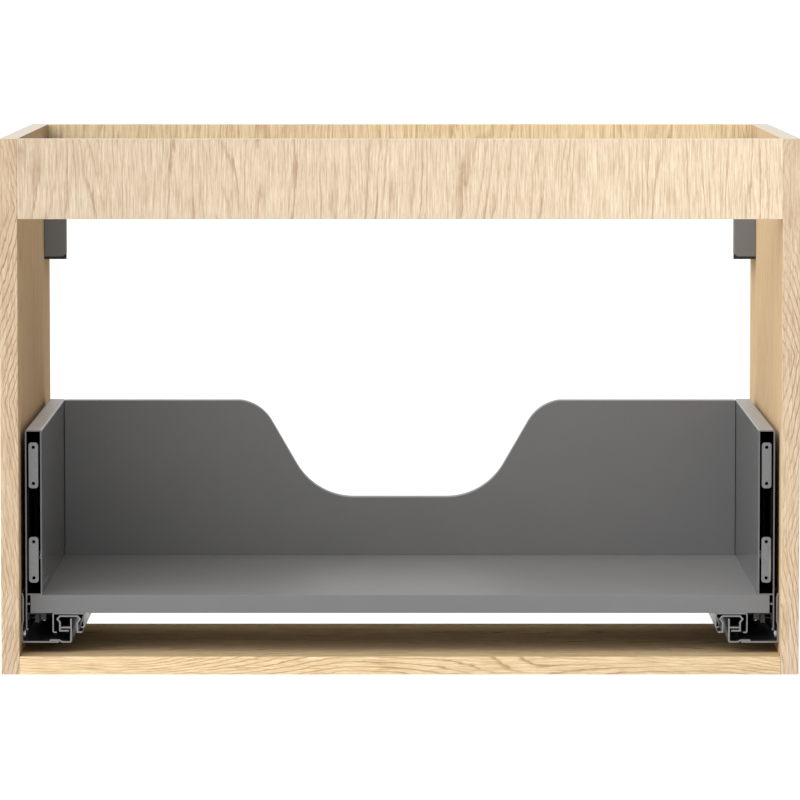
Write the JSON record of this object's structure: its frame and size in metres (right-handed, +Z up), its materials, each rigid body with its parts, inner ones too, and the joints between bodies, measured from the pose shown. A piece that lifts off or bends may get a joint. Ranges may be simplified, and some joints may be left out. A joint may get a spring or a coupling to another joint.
{
  "type": "vanity base cabinet",
  "caption": "Wall-hung vanity base carcass with a low metal-sided drawer on full-extension runners, siphon cut-out, and adjustable hanging brackets.",
  "frame": {"origin": "middle of the cabinet's footprint, at the underside of the side panels", "axes": "+X to the cabinet's right as seen from the front, +Y from the front to the wall, +Z up"},
  "size_m": [0.7, 0.45, 0.47],
  "materials": {
    "oak_board": "matt oak-effect foil with fine pores",
    "beech_dowel": "turned, bare",
    "zinc_fitting": "die-cast zinc, satin",
    "steel_screw": "bright zinc-plated",
    "runner_steel": "galvanised sheet",
    "hook_steel": "galvanised, darkened",
    "bearing_steel": "polished",
    "nylon_white": "matt moulded",
    "anthracite_metal": "fine matt powder coat",
    "anthracite_board": "matt grey laminate",
    "grey_plastic": "matt moulded",
    "cap_plastic": "matt moulded",
    "black_plastic": "matt moulded"
  },
  "bodies": {
    "carcass": {"side_panel_left": "oak_board", "side_panel_right": "oak_board", "bottom_board": "oak_board", "front_rail": "oak_board", "rear_rail": "oak_board", "carcass_dowels": "beech_dowel", "cam_fittings": "zinc_fitting", "hanger_fixing_screws": "steel_screw", "runner_screws": "steel_screw", "hanger_frame_left": "hook_steel", "hanger_frame_right": "hook_steel", "hanger_cover_left": "grey_plastic", "hanger_cover_right": "grey_plastic", "runner_bracket_left": "runner_steel", "runner_bracket_right": "runner_steel", "cabinet_rail_left": "runner_steel", "cabinet_rail_right": "runner_steel", "closing_damper_left": "black_plastic", "closing_damper_right": "black_plastic"},
    "drawer": {"drawer_floor": "anthracite_board", "drawer_back": "anthracite_board", "drawer_screws": "steel_screw", "drawer_side_left": "anthracite_metal", "drawer_side_right": "anthracite_metal", "back_holder_left": "anthracite_metal", "back_holder_right": "anthracite_metal", "cover_cap_left": "cap_plastic", "cover_cap_right": "cap_plastic", "release_catch_left": "black_plastic", "release_catch_right": "black_plastic", "drawer_rail_left": "runner_steel", "drawer_rail_right": "runner_steel"},
    "middle_rail_left": {"middle_rail_left": "runner_steel"},
    "lower_cage_left": {"lower_cage_left": "nylon_white", "lower_rollers_left": "nylon_white"},
    "upper_cage_left": {"upper_cage_left": "runner_steel", "upper_balls_left": "bearing_steel"},
    "release_lever_left": {"release_lever_left": "black_plastic"},
    "front_carrier_left": {"front_carrier_left": "black_plastic"},
    "front_bracket_left": {"front_bracket_left": "zinc_fitting"},
    "height_adjuster_left": {"height_adjuster_left": "steel_screw"},
    "side_adjuster_left": {"side_adjuster_left": "steel_screw"},
    "hanger_carriage_left": {"hanger_carriage_left": "zinc_fitting"},
    "hanger_hook_left": {"hanger_hook_left": "hook_steel"},
    "hanger_height_screw_left": {"hanger_height_screw_left": "steel_screw"},
    "hanger_depth_screw_left": {"hanger_depth_screw_left": "steel_screw"},
    "middle_rail_right": {"middle_rail_right": "runner_steel"},
    "lower_cage_right": {"lower_cage_right": "nylon_white", "lower_rollers_right": "nylon_white"},
    "upper_cage_right": {"upper_cage_right": "runner_steel", "upper_balls_right": "bearing_steel"},
    "release_lever_right": {"release_lever_right": "black_plastic"},
    "front_carrier_right": {"front_carrier_right": "black_plastic"},
    "front_bracket_right": {"front_bracket_right": "zinc_fitting"},
    "height_adjuster_right": {"height_adjuster_right": "steel_screw"},
    "side_adjuster_right": {"side_adjuster_right": "steel_screw"},
    "hanger_carriage_right": {"hanger_carriage_right": "zinc_fitting"},
    "hanger_hook_right": {"hanger_hook_right": "hook_steel"},
    "hanger_height_screw_right": {"hanger_height_screw_right": "steel_screw"},
    "hanger_depth_screw_right": {"hanger_depth_screw_right": "steel_screw"}
  },
  "joints": [
    {"name": "drawer_slide", "type": "slide", "parent": "carcass", "child": "drawer", "axis": [0, -1, 0], "range_m": [0, 0.335]},
    {"name": "middle_rail_left_slide", "type": "slide", "parent": "carcass", "child": "middle_rail_left", "axis": [0, -1, 0], "range_m": [0, 0.168]},
    {"name": "lower_cage_left_slide", "type": "slide", "parent": "carcass", "child": "lower_cage_left", "axis": [0, -1, 0], "range_m": [0, 0.084]},
    {"name": "upper_cage_left_slide", "type": "slide", "parent": "carcass", "child": "upper_cage_left", "axis": [0, -1, 0], "range_m": [0, 0.252]},
    {"name": "release_lever_left_turn", "type": "hinge", "parent": "drawer", "child": "release_lever_left", "pos_m": [-0.32, -0.15, 0.0484], "axis": [0, 0, 1], "range_deg": [-5.5, 0], "stiffness_Nm_per_rad": 0.02},
    {"name": "front_left_height", "type": "slide", "parent": "drawer", "child": "front_carrier_left", "axis": [0, 0, 1], "range_m": [-0.002, 0.002]},
    {"name": "front_left_height_cam", "type": "hinge", "parent": "drawer", "child": "height_adjuster_left", "pos_m": [-0.3226, -0.141, 0.0987], "axis": [1, 0, 0], "range_deg": [-90.1, 90.1]},
    {"name": "front_left_side", "type": "slide", "parent": "front_carrier_left", "child": "front_bracket_left", "axis": [1, 0, 0], "range_m": [-0.0015, 0.0015]},
    {"name": "front_left_side_screw", "type": "hinge", "parent": "front_carrier_left", "child": "side_adjuster_left", "pos_m": [-0.3226, -0.174, 0.0987], "axis": [1, 0, 0], "range_deg": [-540.5, 540.5]},
    {"name": "hanger_left_height", "type": "slide", "parent": "carcass", "child": "hanger_carriage_left", "axis": [0, 0, 1], "range_m": [-0.008, 0.008]},
    {"name": "hanger_left_height_screw", "type": "hinge", "parent": "carcass", "child": "hanger_height_screw_left", "pos_m": [-0.3274, 0.165, 0.398], "axis": [0, 0, 1], "range_deg": [-1921, 1921]},
    {"name": "hanger_left_depth", "type": "slide", "parent": "hanger_carriage_left", "child": "hanger_hook_left", "axis": [0, 1, 0], "range_m": [0, 0.015]},
    {"name": "hanger_left_depth_screw", "type": "hinge", "parent": "hanger_carriage_left", "child": "hanger_depth_screw_left", "pos_m": [-0.321, 0.16, 0.3805], "axis": [0, 1, 0], "range_deg": [0, 3602]},
    {"name": "middle_rail_right_slide", "type": "slide", "parent": "carcass", "child": "middle_rail_right", "axis": [0, -1, 0], "range_m": [0, 0.168]},
    {"name": "lower_cage_right_slide", "type": "slide", "parent": "carcass", "child": "lower_cage_right", "axis": [0, -1, 0], "range_m": [0, 0.084]},
    {"name": "upper_cage_right_slide", "type": "slide", "parent": "carcass", "child": "upper_cage_right", "axis": [0, -1, 0], "range_m": [0, 0.252]},
    {"name": "release_lever_right_turn", "type": "hinge", "parent": "drawer", "child": "release_lever_right", "pos_m": [0.32, -0.15, 0.0484], "axis": [0, 0, 1], "range_deg": [0, 5.5], "stiffness_Nm_per_rad": 0.02},
    {"name": "front_right_height", "type": "slide", "parent": "drawer", "child": "front_carrier_right", "axis": [0, 0, 1], "range_m": [-0.002, 0.002]},
    {"name": "front_right_height_cam", "type": "hinge", "parent": "drawer", "child": "height_adjuster_right", "pos_m": [0.3226, -0.141, 0.0987], "axis": [1, 0, 0], "range_deg": [-90.1, 90.1]},
    {"name": "front_right_side", "type": "slide", "parent": "front_carrier_right", "child": "front_bracket_right", "axis": [1, 0, 0], "range_m": [-0.0015, 0.0015]},
    {"name": "front_right_side_screw", "type": "hinge", "parent": "front_carrier_right", "child": "side_adjuster_right", "pos_m": [0.3226, -0.174, 0.0987], "axis": [1, 0, 0], "range_deg": [-540.5, 540.5]},
    {"name": "hanger_right_height", "type": "slide", "parent": "carcass", "child": "hanger_carriage_right", "axis": [0, 0, 1], "range_m": [-0.008, 0.008]},
    {"name": "hanger_right_height_screw", "type": "hinge", "parent": "carcass", "child": "hanger_height_screw_right", "pos_m": [0.3274, 0.165, 0.398], "axis": [0, 0, 1], "range_deg": [-1921, 1921]},
    {"name": "hanger_right_depth", "type": "slide", "parent": "hanger_carriage_right", "child": "hanger_hook_right", "axis": [0, 1, 0], "range_m": [0, 0.015]},
    {"name": "hanger_right_depth_screw", "type": "hinge", "parent": "hanger_carriage_right", "child": "hanger_depth_screw_right", "pos_m": [0.321, 0.16, 0.3805], "axis": [0, 1, 0], "range_deg": [0, 3602]}
  ],
  "couplings": [
    {"joint": "middle_rail_left_slide", "follows": "drawer_slide", "ratio": 0.5},
    {"joint": "lower_cage_left_slide", "follows": "drawer_slide", "ratio": 0.25},
    {"joint": "upper_cage_left_slide", "follows": "drawer_slide", "ratio": 0.75},
    {"joint": "front_left_height_cam", "follows": "front_left_height", "rad_per_m": -785.4},
    {"joint": "front_left_side_screw", "follows": "front_left_side", "rad_per_m": 6283.2},
    {"joint": "hanger_left_height_screw", "follows": "hanger_left_height", "rad_per_m": 4188.8},
    {"joint": "hanger_left_depth_screw", "follows": "hanger_left_depth", "rad_per_m": 4188.8},
    {"joint": "middle_rail_right_slide", "follows": "drawer_slide", "ratio": 0.5},
    {"joint": "lower_cage_right_slide", "follows": "drawer_slide", "ratio": 0.25},
    {"joint": "upper_cage_right_slide", "follows": "drawer_slide", "ratio": 0.75},
    {"joint": "front_right_height_cam", "follows": "front_right_height", "rad_per_m": -785.4},
    {"joint": "front_right_side_screw", "follows": "front_right_side", "rad_per_m": 6283.2},
    {"joint": "hanger_right_height_screw", "follows": "hanger_right_height", "rad_per_m": 4188.8},
    {"joint": "hanger_right_depth_screw", "follows": "hanger_right_depth", "rad_per_m": 4188.8}
  ]
}
